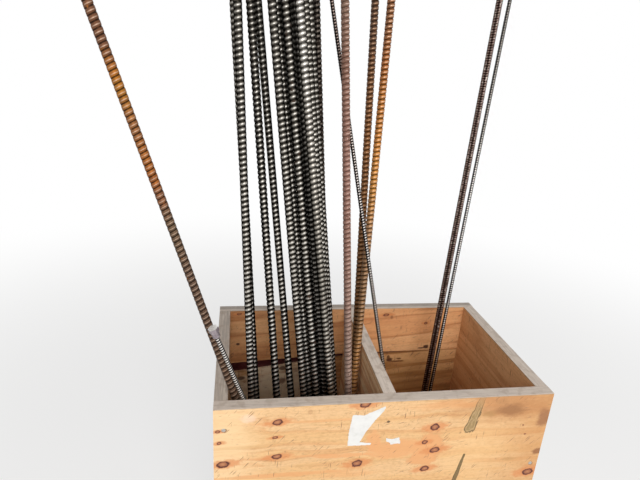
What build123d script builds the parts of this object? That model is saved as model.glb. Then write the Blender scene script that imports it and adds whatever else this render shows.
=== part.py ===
from build123d import *

import os
from math import atan2, hypot, tan
from typing import NamedTuple

# Coarse-thread steel bars and a few thin rods, standing in a divided timber bin.
# Frame: +X to the right along the front board, +Y from the front board to the back,
# +Z up, in millimetres. The origin is the middle of the bin's underside.

# Bin
BIN_WIDTH = 700.0
BIN_DEPTH = 420.0
BIN_HEIGHT = 600.0
BOARD = 27.0  # three-layer panel
BACK_SHEET = 18.0  # film-faced sheet behind the two thin back boards
FLOOR_BOARD = 27.0
RIM_EASE = 1.2  # rounding worn on the upper edges
JOINT_GAP = 0.2  # air between panels that are screwed side by side

# The slot between the two back boards, as heights under the rim. It is widest at the
# left wall, narrows to the knee and is a crack from there to the right wall.
SLOT_KNEE_X = 330.0  # from the bin's left side
SLOT_TOP_LEFT = 160.0
SLOT_TOP_KNEE = 139.0
SLOT_TOP_RIGHT = 134.0
SLOT_WIDTH_LEFT = 34.0
SLOT_WIDTH_KNEE = 12.0
SLOT_WIDTH_RIGHT = 1.5

# Bars with a coarse rolled thread. The solids are the cores: the ribs stand proud of them.
BAR_CORE = 15.0
BAR_RIB = 1.0
BAR_AIR = 0.6
BAR_LENGTH = 2000.0
BAR_PITCH = BAR_CORE + 2 * BAR_RIB + BAR_AIR  # the room that one bar takes in the bin

# Thin ribbed rods
ROD_CORE = 8.0
ROD_RIB = 0.5
ROD_AIR = 0.6
ROD_LENGTH = 2000.0
ROD_PITCH = ROD_CORE + 2 * ROD_RIB + ROD_AIR

# Short threaded rod with a closed nut on its upper end: a round sleeve under a hexagonal head
STUD_DIAMETER = 9.0
STUD_LENGTH = 772.0
NUT_FLATS = 17.0
NUT_HEAD = 8.0
NUT_SLEEVE = 12.0
NUT_SLEEVE_DIAMETER = 14.0
NUT_BORE_AIR = 0.1
NUT_CHAMFER = 1.0

SEAT_AIR = 0.3  # between a bar's ribs or foot and what it stands on or leans on

# Planes of the bin that the boards and the bars are placed from
RIM_Z = BIN_HEIGHT
FLOOR_Z = FLOOR_BOARD
FRONT_Y = -BIN_DEPTH / 2
FRONT_INSIDE_Y = FRONT_Y + BOARD
BACK_Y = BIN_DEPTH / 2
BACK_INSIDE_Y = BACK_Y - BOARD
LEFT_X = -BIN_WIDTH / 2
LEFT_INSIDE_X = LEFT_X + BOARD
DIVIDER_LEFT_X = -BOARD / 2
DIVIDER_RIGHT_X = BOARD / 2
INSIDE_WIDTH = BIN_WIDTH - 2 * BOARD
INSIDE_DEPTH = BIN_DEPTH - 2 * BOARD


class Spot(NamedTuple):
    """A point in plan, in millimetres."""

    x: float
    y: float


class Place(NamedTuple):
    """Where a bar's axis meets the bin's floor, and where it passes the rim."""

    foot: Spot
    rim: Spot


def left_of_divider(across: float, back: float) -> Spot:
    """A spot counted in bar pitches from the divider and from the front board."""
    return Spot(DIVIDER_LEFT_X - across * BAR_PITCH, FRONT_INSIDE_Y + back * BAR_PITCH)


def right_of_divider(across: float, back: float) -> Spot:
    """A spot counted in rod pitches from the divider and from the front board."""
    return Spot(DIVIDER_RIGHT_X + across * ROD_PITCH, FRONT_INSIDE_Y + back * ROD_PITCH)


def right_of_left_wall(across: float, back: float) -> Spot:
    """A spot counted in bar pitches from the left wall and from the front board."""
    return Spot(LEFT_INSIDE_X + across * BAR_PITCH, FRONT_INSIDE_Y + back * BAR_PITCH)


def leaning_reach(radius: float, run: float, rise: float) -> float:
    """How far from an edge the axis of a round bar lies, at the edge's height."""
    return radius * hypot(run, rise) / rise


def standing_plane(place: Place, radius: float) -> Plane:
    """The plane of a bar's sawn foot: its lowest point just clears the floor."""
    run_x = place.rim.x - place.foot.x
    run_y = place.rim.y - place.foot.y
    rise = RIM_Z - FLOOR_Z
    axis = Vector(run_x, run_y, rise).normalized()
    lean = atan2(hypot(run_x, run_y), rise)
    lift = radius * tan(lean) + SEAT_AIR
    return Plane(Vector(place.foot.x, place.foot.y, FLOOR_Z) + axis * lift, z_dir=axis)


# Dark bars, from the pair at the left to the pack that leans on the divider side
DARK_PLACES = [
    Place(left_of_divider(13.53, 4.35), left_of_divider(15.00, 6.08)),
    Place(left_of_divider(12.39, 6.95), left_of_divider(14.53, 8.83)),
    Place(left_of_divider(9.21, 5.16), left_of_divider(12.01, 7.70)),
    Place(left_of_divider(6.70, 5.65), left_of_divider(10.25, 8.40)),
    Place(left_of_divider(4.96, 4.81), left_of_divider(8.77, 5.99)),
    Place(left_of_divider(3.97, 5.78), left_of_divider(7.95, 7.25)),
    Place(left_of_divider(3.23, 7.70), left_of_divider(7.35, 9.13)),
    Place(left_of_divider(3.16, 4.63), left_of_divider(7.17, 5.97)),
    Place(left_of_divider(2.12, 5.17), left_of_divider(6.25, 7.45)),
    Place(left_of_divider(1.86, 3.67), left_of_divider(5.98, 5.69)),
    Place(left_of_divider(1.30, 2.70), left_of_divider(5.56, 4.67)),
    Place(left_of_divider(1.13, 4.81), left_of_divider(5.02, 7.21)),
    Place(left_of_divider(0.84, 5.99), left_of_divider(4.59, 8.43)),
]
BROWN_PLACE = Place(left_of_divider(1.50, 13.21), left_of_divider(4.20, 15.24))
MAUVE_PLACE = Place(left_of_divider(0.54, 3.41), left_of_divider(2.66, 7.20))
ORANGE_PLACES = [
    Place(left_of_divider(0.62, 7.33), left_of_divider(0.55, 12.10)),
    Place(left_of_divider(1.61, 6.82), left_of_divider(0.55, 10.75)),
]

# The rusty bar leans out over the left wall and bears on its inner upper edge.
RUSTY_FOOT = right_of_left_wall(10.63, 1.56)
RUSTY_REACH = leaning_reach(BAR_CORE / 2 + BAR_RIB, RUSTY_FOOT.x - LEFT_INSIDE_X, RIM_Z - FLOOR_Z)
RUSTY_RIM = Spot(LEFT_INSIDE_X + RUSTY_REACH + SEAT_AIR, right_of_left_wall(0, 1.70).y)
RUSTY_PLACE = Place(RUSTY_FOOT, RUSTY_RIM)

# The grey rod bears on the divider's right upper edge.
GREY_FOOT = right_of_divider(12.34, 2.67)
GREY_REACH = leaning_reach(ROD_CORE / 2 + ROD_RIB, GREY_FOOT.x - DIVIDER_RIGHT_X, RIM_Z - FLOOR_Z)
GREY_RIM = Spot(DIVIDER_RIGHT_X + GREY_REACH + SEAT_AIR, right_of_divider(0, 12.81).y)
GREY_PLACE = Place(GREY_FOOT, GREY_RIM)

BROWN_ROD_PLACES = [
    Place(right_of_divider(14.93, 22.75), right_of_divider(19.65, 28.13)),
    Place(right_of_divider(15.40, 21.60), right_of_divider(19.98, 26.98)),
    Place(right_of_divider(16.42, 22.02), right_of_divider(21.57, 27.40)),
]

# The threaded rod leans to the left and forward, over the front board's upper edge.
STUD_FOOT = left_of_divider(5.06, 3.64)
STUD_REACH = leaning_reach(STUD_DIAMETER / 2, STUD_FOOT.y - FRONT_INSIDE_Y, RIM_Z - FLOOR_Z)
STUD_RIM = Spot(right_of_left_wall(1.64, 0).x, FRONT_INSIDE_Y + STUD_REACH + SEAT_AIR)
STUD_PLACE = Place(STUD_FOOT, STUD_RIM)
STUD_PLANE = standing_plane(STUD_PLACE, STUD_DIAMETER / 2)


# Bin: front board over the full width, with the back of the same width
with BuildPart() as front_panel:
    with BuildSketch(Plane.XY):
        with Locations((0, FRONT_Y + BOARD / 2)):
            Rectangle(BIN_WIDTH, BOARD)
    extrude(amount=BIN_HEIGHT)
    fillet(front_panel.edges().group_by(Axis.Z)[-1].filter_by(Axis.X), RIM_EASE)

# The two side boards and the divider stand between the front and the back.
SIDE_CENTRES = {
    "left_panel": LEFT_X + BOARD / 2,
    "right_panel": -LEFT_X - BOARD / 2,
    "divider": 0.0,
}
side_parts = {}
for side_name, centre_x in SIDE_CENTRES.items():
    with BuildPart() as side_board:
        with BuildSketch(Plane.XY):
            with Locations((centre_x, 0)):
                Rectangle(BOARD, INSIDE_DEPTH - 2 * JOINT_GAP)
        extrude(amount=BIN_HEIGHT)
        fillet(side_board.edges().group_by(Axis.Z)[-1].filter_by(Axis.Y), RIM_EASE)
    side_parts[side_name] = side_board.part

# Back: two boards with a slot between them, and a thin sheet behind
BACK_BOARD = BOARD - BACK_SHEET
BACK_BOARD_PLANE = Plane.XZ.offset(-(BACK_INSIDE_Y + BACK_BOARD - JOINT_GAP))
slot_top = [
    (LEFT_X, RIM_Z - SLOT_TOP_LEFT),
    (LEFT_X + SLOT_KNEE_X, RIM_Z - SLOT_TOP_KNEE),
    (-LEFT_X, RIM_Z - SLOT_TOP_RIGHT),
]
slot_bottom = [
    (LEFT_X, RIM_Z - SLOT_TOP_LEFT - SLOT_WIDTH_LEFT),
    (LEFT_X + SLOT_KNEE_X, RIM_Z - SLOT_TOP_KNEE - SLOT_WIDTH_KNEE),
    (-LEFT_X, RIM_Z - SLOT_TOP_RIGHT - SLOT_WIDTH_RIGHT),
]

with BuildPart() as back_board_upper:
    with BuildSketch(BACK_BOARD_PLANE):
        with BuildLine():
            Polyline(*slot_top, (-LEFT_X, RIM_Z), (LEFT_X, RIM_Z), close=True)
        make_face()
    extrude(amount=BACK_BOARD - JOINT_GAP)
    fillet(back_board_upper.edges().group_by(Axis.Z)[-1].sort_by(Axis.Y)[0], RIM_EASE)

with BuildPart() as back_board_lower:
    with BuildSketch(BACK_BOARD_PLANE):
        with BuildLine():
            Polyline(*slot_bottom, (-LEFT_X, 0), (LEFT_X, 0), close=True)
        make_face()
    extrude(amount=BACK_BOARD - JOINT_GAP)

with BuildPart() as back_sheet:
    with BuildSketch(Plane.XY):
        with Locations((0, BACK_Y - BACK_SHEET / 2)):
            Rectangle(BIN_WIDTH, BACK_SHEET)
    extrude(amount=BIN_HEIGHT)
    fillet(back_sheet.edges().group_by(Axis.Z)[-1].sort_by(Axis.Y)[-1], RIM_EASE)

# Floor: one board in each compartment, because the divider runs down to the ground
FLOOR_WIDTH = (INSIDE_WIDTH - BOARD) / 2
with BuildPart() as floor_panels:
    for side in (-1, 1):
        with BuildSketch(Plane.XY):
            with Locations((side * (BOARD + FLOOR_WIDTH) / 2, 0)):
                Rectangle(FLOOR_WIDTH - 2 * JOINT_GAP, INSIDE_DEPTH - 2 * JOINT_GAP)
        extrude(amount=FLOOR_BOARD)

# Bars: each is a straight round core from its sawn foot
with BuildPart() as dark_thread_bars:
    for place in DARK_PLACES:
        with BuildSketch(standing_plane(place, BAR_CORE / 2)):
            Circle(BAR_CORE / 2)
        extrude(amount=BAR_LENGTH)

with BuildPart() as brown_thread_bar:
    with BuildSketch(standing_plane(BROWN_PLACE, BAR_CORE / 2)):
        Circle(BAR_CORE / 2)
    extrude(amount=BAR_LENGTH)

with BuildPart() as leaning_rusty_bar:
    with BuildSketch(standing_plane(RUSTY_PLACE, BAR_CORE / 2)):
        Circle(BAR_CORE / 2)
    extrude(amount=BAR_LENGTH)

with BuildPart() as mauve_rusty_bar:
    with BuildSketch(standing_plane(MAUVE_PLACE, BAR_CORE / 2)):
        Circle(BAR_CORE / 2)
    extrude(amount=BAR_LENGTH)

with BuildPart() as orange_rusty_bars:
    for place in ORANGE_PLACES:
        with BuildSketch(standing_plane(place, BAR_CORE / 2)):
            Circle(BAR_CORE / 2)
        extrude(amount=BAR_LENGTH)

# Thin rods
with BuildPart() as grey_ribbed_rod:
    with BuildSketch(standing_plane(GREY_PLACE, ROD_CORE / 2)):
        Circle(ROD_CORE / 2)
    extrude(amount=ROD_LENGTH)

with BuildPart() as brown_ribbed_rods:
    for place in BROWN_ROD_PLACES:
        with BuildSketch(standing_plane(place, ROD_CORE / 2)):
            Circle(ROD_CORE / 2)
        extrude(amount=ROD_LENGTH)

with BuildPart() as threaded_rod:
    with BuildSketch(STUD_PLANE):
        Circle(STUD_DIAMETER / 2)
    extrude(amount=STUD_LENGTH)

# The rod ends inside the sleeve, just under the head. The head's corners are rounded off.
NUT_PLANE = STUD_PLANE.offset(STUD_LENGTH - NUT_SLEEVE)
with BuildPart() as hex_sleeve_nut:
    with BuildSketch(NUT_PLANE.offset(NUT_SLEEVE)):
        RegularPolygon(NUT_FLATS / 2, 6, major_radius=False)
    extrude(amount=NUT_HEAD)
    with BuildSketch(NUT_PLANE.offset(NUT_SLEEVE)):
        Circle(NUT_FLATS / 2 + NUT_CHAMFER)
    extrude(amount=NUT_HEAD, mode=Mode.INTERSECT)
    with BuildSketch(NUT_PLANE):
        Circle(NUT_SLEEVE_DIAMETER / 2)
    extrude(amount=NUT_SLEEVE)
    with BuildSketch(NUT_PLANE):
        Circle(STUD_DIAMETER / 2 + NUT_BORE_AIR)
    extrude(amount=NUT_SLEEVE + NUT_BORE_AIR, mode=Mode.SUBTRACT)

front_panel.part.label = "front_panel"
back_board_upper.part.label = "back_board_upper"
back_board_lower.part.label = "back_board_lower"
back_sheet.part.label = "back_sheet"
floor_panels.part.label = "floor_panels"
dark_thread_bars.part.label = "dark_thread_bars"
brown_thread_bar.part.label = "brown_thread_bar"
leaning_rusty_bar.part.label = "leaning_rusty_bar"
mauve_rusty_bar.part.label = "mauve_rusty_bar"
orange_rusty_bars.part.label = "orange_rusty_bars"
grey_ribbed_rod.part.label = "grey_ribbed_rod"
brown_ribbed_rods.part.label = "brown_ribbed_rods"
threaded_rod.part.label = "threaded_rod"
hex_sleeve_nut.part.label = "hex_sleeve_nut"

os.makedirs("parts", exist_ok=True)
for side_name, side_part in side_parts.items():
    side_part.label = side_name
    export_step(side_part, f"parts/{side_name}.step")
export_step(front_panel.part, "parts/front_panel.step")
export_step(back_board_upper.part, "parts/back_board_upper.step")
export_step(back_board_lower.part, "parts/back_board_lower.step")
export_step(back_sheet.part, "parts/back_sheet.step")
export_step(floor_panels.part, "parts/floor_panels.step")
export_step(dark_thread_bars.part, "parts/dark_thread_bars.step")
export_step(brown_thread_bar.part, "parts/brown_thread_bar.step")
export_step(leaning_rusty_bar.part, "parts/leaning_rusty_bar.step")
export_step(mauve_rusty_bar.part, "parts/mauve_rusty_bar.step")
export_step(orange_rusty_bars.part, "parts/orange_rusty_bars.step")
export_step(grey_ribbed_rod.part, "parts/grey_ribbed_rod.step")
export_step(brown_ribbed_rods.part, "parts/brown_ribbed_rods.step")
export_step(threaded_rod.part, "parts/threaded_rod.step")
export_step(hex_sleeve_nut.part, "parts/hex_sleeve_nut.step")
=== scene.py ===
"""Looks of the rebar bundle: ribbed steel bars standing in a divided timber bin.

Everything is in metres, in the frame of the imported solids: X along the front board, Y from front to
back, Z up, with the origin in the middle of the bin's underside.
"""

from __future__ import annotations

import logging
import math
from dataclasses import dataclass
from enum import Enum

import bpy
import numpy as np
from bpy.types import Material, Node, NodeSocket, NodeTree, Object
from mathutils import Matrix, Vector


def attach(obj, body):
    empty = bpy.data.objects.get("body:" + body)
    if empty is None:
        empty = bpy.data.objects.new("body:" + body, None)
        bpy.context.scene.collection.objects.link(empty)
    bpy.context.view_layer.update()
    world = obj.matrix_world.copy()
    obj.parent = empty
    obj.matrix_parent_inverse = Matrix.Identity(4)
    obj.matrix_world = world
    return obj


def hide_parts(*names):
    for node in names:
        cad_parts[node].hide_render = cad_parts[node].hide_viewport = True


LOG = logging.getLogger("rebar_bundle")
MM = 0.001
ROOT = "root"

BIN_LEFT = -0.350
BIN_FRONT = -0.210
BIN_RIM = 0.600

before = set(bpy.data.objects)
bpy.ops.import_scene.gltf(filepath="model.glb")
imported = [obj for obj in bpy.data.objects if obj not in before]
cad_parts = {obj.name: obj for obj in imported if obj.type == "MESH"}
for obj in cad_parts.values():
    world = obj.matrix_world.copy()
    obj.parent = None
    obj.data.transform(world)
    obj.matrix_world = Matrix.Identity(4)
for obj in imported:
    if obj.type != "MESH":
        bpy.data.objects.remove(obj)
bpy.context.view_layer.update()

Array = np.ndarray
Value = Node | NodeSocket | float | str | tuple
MODES = {
    "Math": "operation", "VectorMath": "operation", "Mix": "blend_type",
    "MapRange": "interpolation_type",
}


def linear(code: str) -> tuple[float, float, float, float]:
    """Turns an sRGB hex colour, "#rrggbb", into linear light and an alpha of 1."""
    parts = [int(code[i : i + 2], 16) / 255 for i in (1, 3, 5)]
    light = [c / 12.92 if c <= 0.04045 else ((c + 0.055) / 1.055) ** 2.4 for c in parts]
    return (light[0], light[1], light[2], 1.0)


def add(tree: NodeTree, kind: str, *values: Value, stops: tuple = (), **named: Value) -> Node:
    """Adds a shader node, sets its properties and feeds its inputs.

    A node given as a value is taken by its first output in use. A Mix node mixes colours.

    Args:
        tree: The node tree that gets the node.
        kind: The node's type without its "ShaderNode", and after a space its mode.
        *values: For the inputs in use, in their order. A text is a hex colour.
        stops: For a colour ramp, pairs of position and hex colour.
        **named: Inputs by their name in lower case, and properties of the node.

    Returns:
        The new node.
    """
    kind, _, mode = kind.partition(" ")
    node = tree.nodes.new("ShaderNode" + kind)
    if mode:
        setattr(node, MODES[kind], mode)
    if kind == "Mix":
        node.data_type = "RGBA"
    names = [socket.name.lower().replace(" ", "_") for socket in node.inputs]
    for key in sorted(set(named) - set(names)):
        setattr(node, key, named[key])
    used = [(name, socket) for name, socket in zip(names, node.inputs) if socket.enabled]
    fed = [(socket, value) for (_, socket), value in zip(used, values)]
    fed += [(socket, named[name]) for name, socket in used[len(values) :] if name in named]
    for socket, value in fed:
        if isinstance(value, Node):
            value = next(output for output in value.outputs if output.enabled)
        if isinstance(value, NodeSocket):
            tree.links.new(value, socket)
        else:
            socket.default_value = linear(value) if isinstance(value, str) else value
    if stops:
        ramp = node.color_ramp.elements
        while len(ramp) < len(stops):
            ramp.new(0.5)
        for element, (place, _) in zip(ramp, stops):
            element.position = place
        for element, (_, code) in zip(ramp, stops):
            element.color = linear(code)
    return node


class Finish:
    """A real material: its subclass draws the surface in the node tree that this class opens."""

    name: str

    def material(self) -> Material:
        """Makes the Blender material, with the drawn surface linked to its output."""
        material = bpy.data.materials.new(self.name)
        material.use_nodes = True
        tree = material.node_tree
        tree.nodes.clear()
        surface = self._surface(tree, add(tree, "TexCoord").outputs["Object"])
        add(tree, "OutputMaterial", surface)
        return material

    def _surface(self, tree: NodeTree, place: NodeSocket) -> Node:
        """Draws the surface, from a point's place in metres in the object's frame."""
        raise NotImplementedError


# --- timber ---


@dataclass(frozen=True)
class Knot:
    """One knot: its place along and up the board and its half sizes, all in mm on the board."""

    along: float
    up: float
    half_long: float
    half_high: float


@dataclass(frozen=True)
class Patch(Knot):
    """A soft area of another colour: as a knot, with its strength, its colour and its soft edge."""

    strength: float
    code: str
    soft: float = 0.7


@dataclass(frozen=True)
class Streak:
    """A weathered pitch pocket: its upper and lower end and its half width, in mm on the board.

    waist is its width at the upper end as a share of that at the lower end, and faint is how
    strongly it shows there. tint is multiplied over its colours.
    """

    upper: tuple[float, float]
    lower: tuple[float, float]
    half_wide: float
    waist: float
    faint: float
    tint: str = "#ffffff"


class Run(Enum):
    """Which way the grain of a board runs."""

    ALONG_X = 0
    ALONG_Y = 1


@dataclass(frozen=True)
class SpruceBoard(Finish):
    """Three-layer spruce panel, planed, knotty, weathered grey on its sawn upper edge.

    The eye sees honey wood with soft late-wood bands that flow round the knots, fine fibre lines,
    red-brown knots with a dark ring, and a grey, dry rim.
    """

    name: str
    run: Run = Run.ALONG_X
    pale: str = "#e6bf8f"
    mid: str = "#e3b984"
    band: str = "#dcab78"
    knots: tuple[Knot, ...] = ()
    patches: tuple[Patch, ...] = ()
    streaks: tuple[Streak, ...] = ()
    seed: float = 0.0
    slope: float = 0.0
    soft: float = 0.012
    rim_pale: str = "#cfc0b2"
    rim_dark: str = "#b9ab9e"
    rim_stain: float = 0.25
    knot_climb: float = 0.1

    def _surface(self, tree: NodeTree, place: NodeSocket) -> Node:
        """Builds the wood from stretched noise, pulled round each knot."""
        along, depth, height = add(tree, "SeparateXYZ", place).outputs
        if self.run is Run.ALONG_Y:
            along, depth = depth, along
        board = add(tree, "CombineXYZ", along, depth, height)
        pull, nearest, lens = self._knot_field(tree, self._climb(tree, board, self.knot_climb))
        wood = add(tree, "VectorMath SUBTRACT", board, pull)
        wood = self._climb(tree, wood, self.slope)
        colour = self._patches(tree, board, self._grain(tree, wood))
        if self.knots:
            colour = self._knots(tree, board, nearest, lens, colour)
        for streak in self.streaks:
            colour = self._streak(tree, board, streak, colour)
        colour = self._scratches(tree, board, colour)
        rim, weathered = self._rim(tree, board, height)
        colour = add(tree, "Mix", weathered, colour, rim)
        fibre = self._stretched(tree, wood, (26.0, 420.0, 620.0), 3.0)
        rough = add(tree, "MapRange", fibre, to_min=0.5, to_max=0.68)
        relief = add(tree, "Bump", strength=0.35, distance=0.5 * MM, height=fibre)
        return add(
            tree, "BsdfPrincipled", base_color=colour, roughness=rough, normal=relief, ior=1.5
        )

    def _climb(self, tree: NodeTree, vector: Node, slope: float) -> Node:
        """Lowers each point by slope times its place along, so a level pattern climbs by it."""
        drop = add(tree, "VectorMath DOT_PRODUCT", vector, (slope, 0.0, 0.0))
        drop = add(tree, "CombineXYZ", z=drop)
        return add(tree, "VectorMath SUBTRACT", vector, drop)

    def _stretched(
        self, tree: NodeTree, vector: Node, per_metre: tuple, detail: float, roughness: float = 0.5
    ) -> Node:
        """Noise with its own scale along, through and up the board, in features per metre."""
        start = (self.seed, self.seed * 1.7, self.seed * 0.6)
        scaled = add(tree, "VectorMath MULTIPLY_ADD", vector, per_metre, start)
        return add(tree, "TexNoise", scaled, scale=1.0, detail=detail, roughness=roughness)

    def _from_middle(self, tree: NodeTree, board: Node, spot: Knot, up: float) -> tuple[Node, Node]:
        """A point's offset and distance from a knot's middle, in its half sizes: 1 is its edge."""
        size = (1 / (spot.half_long * MM), 0.0, 1 / (spot.half_high * MM))
        middle = (-spot.along / spot.half_long, 0.0, -up / spot.half_high)
        offset = add(tree, "VectorMath MULTIPLY_ADD", board, size, middle)
        return offset, add(tree, "VectorMath LENGTH", offset)

    def _knot_field(self, tree: NodeTree, board: Node) -> tuple[Value, Value, Value]:
        """Sums how far each knot pushes the grain aside, and keeps the nearest knot's distance.

        The second distance runs slower along the grain, which gives the stained wood beside a knot
        its lens shape.
        """
        pull, nearest, lens = (0.0, 0.0, 0.0), 9.0, 9.0
        for knot in self.knots:
            up = knot.up - self.knot_climb * knot.along
            offset, far = self._from_middle(tree, board, knot, up)
            fade = add(tree, "MapRange SMOOTHERSTEP", far, from_max=6.0, to_min=1.0, to_max=0.0)
            push = add(tree, "VectorMath SCALE", offset, fade)
            aside = (0.0, 0.0, 0.55 * knot.half_high * MM)
            pull = add(tree, "VectorMath MULTIPLY_ADD", push, aside, pull)
            nearest = add(tree, "Math MINIMUM", far, nearest)
            flat = add(tree, "VectorMath MULTIPLY", offset, (0.45, 0.0, 1.0))
            slow = add(tree, "VectorMath LENGTH", flat)
            lens = add(tree, "Math MINIMUM", slow, lens)
        return pull, nearest, lens

    def _grain(self, tree: NodeTree, wood: Node) -> Node:
        """Late-wood bands about 40 mm apart, darkened by fibre lines 1.5 mm wide, and flecks."""
        bands = self._stretched(tree, wood, (1.6, 9.0, 24.0), 2.0)
        colour = add(
            tree, "ValToRGB", bands,
            stops=(
                (0.30, self.pale), (0.43, self.mid), (0.50, self.band),
                (0.50 + self.soft, self.pale), (0.60, self.pale), (0.67, self.mid),
                (0.72, self.band), (0.72 + self.soft, self.mid),
            ),
        )
        fibre = ((0.30, "#e3d8cb"), (0.55, "#ffffff"), (0.8, "#f3e9dd"))
        mottle = ((0.32, "#efe6da"), (0.55, "#fffdfa"), (0.72, "#fff6ea"))
        for per_metre, detail, stops, share in (
            ((14.0, 260.0, 520.0), 4.0, fibre, 0.6), ((130.0, 260.0, 260.0), 3.0, mottle, 0.8)
        ):
            shade = add(
                tree, "ValToRGB", self._stretched(tree, wood, per_metre, detail), stops=stops
            )
            colour = add(tree, "Mix MULTIPLY", share, colour, shade)
        fleck = self._stretched(tree, wood, (110.0, 200.0, 240.0), 2.0)
        spot = add(tree, "MapRange", fleck, 0.68, 0.74, to_max=0.5)
        return add(tree, "Mix", spot, colour, "#8a5f43")

    def _patches(self, tree: NodeTree, board: Node, colour: Node) -> Node:
        """Lays each soft area over the grain, its outline roughened by noise."""
        wobble = self._stretched(tree, board, (24.0, 24.0, 60.0), 5.0, 0.68)
        sway = 1.7
        for patch in self.patches:
            far = self._from_middle(tree, board, patch, patch.up)[1]
            rough = add(tree, "Math MULTIPLY_ADD", wobble, sway, far)
            outer, inner = sway + patch.soft / 2, sway - patch.soft / 2
            cover = add(tree, "MapRange SMOOTHSTEP", rough, outer, inner, to_max=patch.strength)
            colour = add(tree, "Mix", cover, colour, patch.code)
        return colour

    def _knots(self, tree: NodeTree, board: Node, nearest: Node, lens: Node, colour: Node) -> Node:
        """Draws a ragged orange stain along the grain, a dark ring and a paler middle."""
        ragged = self._stretched(tree, board, (110.0, 110.0, 190.0), 3.0)
        ragged = add(tree, "Math SUBTRACT", ragged, 0.5)
        lens = add(tree, "Math MULTIPLY_ADD", ragged, 1.6, lens)
        nearest = add(tree, "Math MULTIPLY_ADD", ragged, 0.7, nearest)
        halo = add(tree, "MapRange SMOOTHSTEP", lens, 1.7, 0.85, to_max=0.75)
        colour = add(tree, "Mix", halo, colour, "#d38851")
        core = add(tree, "MapRange", nearest, 1.12, 0.92)
        heart = add(
            tree, "ValToRGB", nearest,
            stops=(
                (0.0, "#bd8259"), (0.42, "#a96b46"), (0.62, "#90583d"), (0.76, "#4a2019"),
                (0.9, "#5a2a1f"), (1.0, "#9c5a3c"),
            ),
        )
        return add(tree, "Mix", core, colour, heart)

    def _streak(self, tree: NodeTree, board: Node, streak: Streak, colour: Node) -> Node:
        """Lays in a pitch pocket: grey-green, wider at the lower end, with a dark outline.

        A point's distance is taken to the nearest place on the line between its two ends.
        """
        upper = np.array([streak.upper[0], 0.0, streak.upper[1]]) * MM
        lower = np.array([streak.lower[0], 0.0, streak.lower[1]]) * MM
        run = lower - upper
        length = float(np.linalg.norm(run))
        angle = math.atan2(float(run[2]), float(run[0]))
        turned = add(tree, "VectorRotate", board, angle=angle, rotation_type="Y_AXIS")
        ragged = self._stretched(tree, turned, (60.0, 60.0, 230.0), 4.0)
        offset = add(tree, "VectorMath MULTIPLY_ADD", board, (1.0, 0.0, 1.0), tuple(-upper))
        share = add(tree, "VectorMath DOT_PRODUCT", offset, tuple(run / length**2))
        share = add(tree, "Math ADD", share, 0.0, use_clamp=True)
        back = add(tree, "VectorMath SCALE", tuple(-run), share)
        away = add(tree, "VectorMath ADD", offset, back)
        far = add(tree, "VectorMath LENGTH", away)
        wide = streak.half_wide * MM
        wide = add(tree, "MapRange", share, to_min=wide * streak.waist, to_max=wide)
        inside = add(tree, "Math DIVIDE", far, wide)
        inside = add(tree, "Math MULTIPLY_ADD", ragged, 1.3, inside)
        pitch = add(
            tree, "ValToRGB", add(tree, "MapRange", inside, from_max=2.0),
            stops=(
                (0.30, "#8a7348"), (0.36, "#b0946a"), (0.48, "#8c7549"), (0.56, "#b79a70"),
                (0.66, "#9a8052"), (0.71, "#5d4d33"), (0.77, "#5d4d33"), (0.82, "#c9a26c"),
            ),
        )
        pitch = add(tree, "Mix MULTIPLY", 1.0, pitch, streak.tint)
        cover = add(tree, "MapRange", inside, 1.8, 1.55, to_max=1.0)
        fade = add(tree, "MapRange", share, from_max=0.45, to_min=streak.faint, to_max=0.9)
        cover = add(tree, "Math MULTIPLY", cover, fade)
        return add(tree, "Mix", cover, colour, pitch)

    def _scratches(self, tree: NodeTree, board: Node, colour: Node) -> Node:
        """Short dark checks and scratches: peaks of noise drawn out along slanted lines.

        Real ones are 0.3 mm wide, too fine to show, so they are drawn 1 mm wide.
        """
        for slant, edge, code in (
            (48.0, 0.66, "#8a5f43"), (88.0, 0.67, "#85593d"), (14.0, 0.67, "#94694a")
        ):
            angle = math.radians(slant)
            turned = add(tree, "VectorRotate", board, angle=angle, rotation_type="Y_AXIS")
            marks = self._stretched(tree, turned, (34.0, 30.0, 360.0), 1.0)
            line = add(tree, "MapRange", marks, edge, edge + 0.05)
            kept = self._stretched(tree, turned, (13.0, 13.0, 17.0), 1.0)
            kept = add(tree, "MapRange", kept, 0.5, 0.6, to_max=0.8)
            cover = add(tree, "Math MULTIPLY", line, kept)
            colour = add(tree, "Mix", cover, colour, code)
        return colour

    def _rim(self, tree: NodeTree, board: Node, height: NodeSocket) -> tuple[Node, Node]:
        """Grey, dry end of the board: its colour and how much of it covers the wood."""
        fibre = self._stretched(tree, board, (22.0, 300.0, 300.0), 5.0)
        stops = ((0.3, self.rim_dark), (0.55, self.rim_pale), (0.8, "#d8cbbd"))
        rim = add(tree, "ValToRGB", fibre, stops=stops)
        ragged = self._stretched(tree, board, (60.0, 60.0, 60.0), 3.0)
        dirty = add(tree, "MapRange", ragged, 0.52, 0.66, to_max=self.rim_stain)
        rim = add(tree, "Mix", dirty, rim, "#8b7157")
        top = add(tree, "Math MULTIPLY_ADD", ragged, 3.0 * MM, height)
        below, bevel = BIN_RIM - 0.9 * MM, BIN_RIM - 0.2 * MM
        edge = add(tree, "MapRange", height, bevel, below)
        rim = add(tree, "Mix", edge, rim, "#a88e73")
        return rim, add(tree, "MapRange", top, below, BIN_RIM + 0.3 * MM)


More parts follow.
